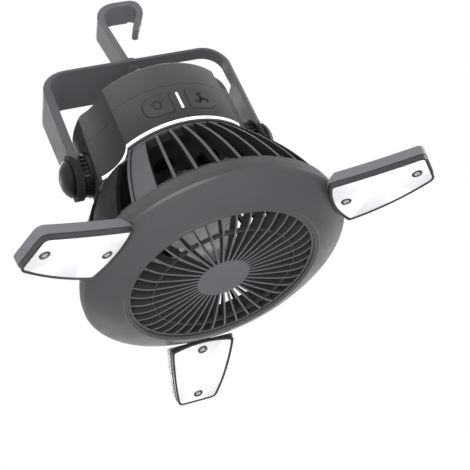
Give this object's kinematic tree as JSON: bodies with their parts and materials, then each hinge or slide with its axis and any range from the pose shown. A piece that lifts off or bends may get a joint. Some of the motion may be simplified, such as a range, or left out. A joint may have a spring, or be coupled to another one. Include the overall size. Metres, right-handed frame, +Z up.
{
  "type": "hanging camping fan with fold-out light panels",
  "caption": "Battery camping fan: caged fan head on a folding bracket with a fold-down hook, a glowing ring under the control housing and fold-out light panels.",
  "frame": {"origin": "on the fan axis, on the flat front face of the grille's hub", "axes": "+Z runs up the fan axis from the grille to the housing and hook, +X along the bracket's pivots to the side the hook opens to, -Y towards the two buttons"},
  "size_m": [0.2754, 0.2436, 0.2608],
  "materials": {
    "shell_plastic": "satin moulded, dark grey",
    "cage_plastic": "satin moulded, darker grey",
    "black_plastic": "matte moulded",
    "impeller_plastic": "glossy moulded",
    "knob_plastic": "satin moulded",
    "diffuser": "frosted, light passes through",
    "indicator": "frosted, lit",
    "circuit_board": "solder mask",
    "battery_wrap": "shrink-wrapped cans",
    "steel": "zinc plated",
    "motor_can": "satin",
    "rubber_cover": "matte"
  },
  "bodies": {
    "head": {"front_ring": "shell_plastic", "grille": "shell_plastic", "rib_cage": "cage_plastic", "light_ring": "diffuser", "light_ring_board": "circuit_board", "control_housing": "shell_plastic", "top_cover": "shell_plastic", "cover_screws": "steel", "indicator_light": "indicator", "control_board": "circuit_board", "battery_cells": "battery_wrap", "battery_holder": "black_plastic", "charging_socket": "steel", "motor_plate": "black_plastic", "plate_screws": "steel", "motor": "motor_can", "cage_screws": "steel", "left_toothed_disc": "knob_plastic", "right_toothed_disc": "knob_plastic", "left_pivot_bolt": "steel", "right_pivot_bolt": "steel", "left_hinge_pin": "steel", "right_hinge_pin": "steel", "rear_hinge_pin": "steel"},
    "bracket": {"bracket": "shell_plastic", "left_knob": "knob_plastic", "right_knob": "knob_plastic", "hook_pin": "steel"},
    "hook": {"hook": "shell_plastic"},
    "impeller": {"impeller": "impeller_plastic", "motor_shaft": "steel"},
    "light_button": {"light_button": "knob_plastic"},
    "fan_button": {"fan_button": "knob_plastic"},
    "port_cover": {"port_cover": "rubber_cover"},
    "left_panel": {"left_panel_shell": "shell_plastic", "left_panel_frame": "shell_plastic", "left_panel_lens": "diffuser", "left_panel_board": "circuit_board", "left_panel_screws": "steel"},
    "right_panel": {"right_panel_shell": "shell_plastic", "right_panel_frame": "shell_plastic", "right_panel_lens": "diffuser", "right_panel_board": "circuit_board", "right_panel_screws": "steel"},
    "rear_panel": {"rear_panel_shell": "shell_plastic", "rear_panel_frame": "shell_plastic", "rear_panel_lens": "diffuser", "rear_panel_board": "circuit_board", "rear_panel_screws": "steel"}
  },
  "joints": [
    {"name": "impeller_spin", "type": "hinge", "parent": "head", "child": "impeller", "pos_m": [0, 0, 0.02], "axis": [0, 0, 1], "continuous": true},
    {"name": "bracket_tilt", "type": "hinge", "parent": "head", "child": "bracket", "pos_m": [0, 0, 0.105], "axis": [1, 0, 0], "range_deg": [-90, 90]},
    {"name": "hook_fold", "type": "hinge", "parent": "bracket", "child": "hook", "pos_m": [0, 0, 0.18735], "axis": [0, 1, 0], "range_deg": [0, 96]},
    {"name": "left_panel_fold", "type": "hinge", "parent": "head", "child": "left_panel", "pos_m": [-0.084, -0.0485, 0.0126], "axis": [-0.5, 0.866, 0], "range_deg": [0, 120]},
    {"name": "right_panel_fold", "type": "hinge", "parent": "head", "child": "right_panel", "pos_m": [0.084, -0.0485, 0.0126], "axis": [-0.5, -0.866, 0], "range_deg": [0, 120]},
    {"name": "rear_panel_fold", "type": "hinge", "parent": "head", "child": "rear_panel", "pos_m": [0, 0.097, 0.0126], "axis": [1, 0, 0], "range_deg": [0, 120]},
    {"name": "light_button_press", "type": "slide", "parent": "head", "child": "light_button", "axis": [0.2385, 0.9711, 0], "range_m": [0, 0.0008], "stiffness_N_per_m": 2000, "springref_m": -0.0006},
    {"name": "fan_button_press", "type": "slide", "parent": "head", "child": "fan_button", "axis": [-0.289, 0.9573, 0], "range_m": [0, 0.0008], "stiffness_N_per_m": 2000, "springref_m": -0.0006},
    {"name": "port_cover_open", "type": "hinge", "parent": "head", "child": "port_cover", "pos_m": [-0.0075, 0.058, 0.0994], "axis": [0, 0, 1], "range_deg": [0, 110]}
  ]
}
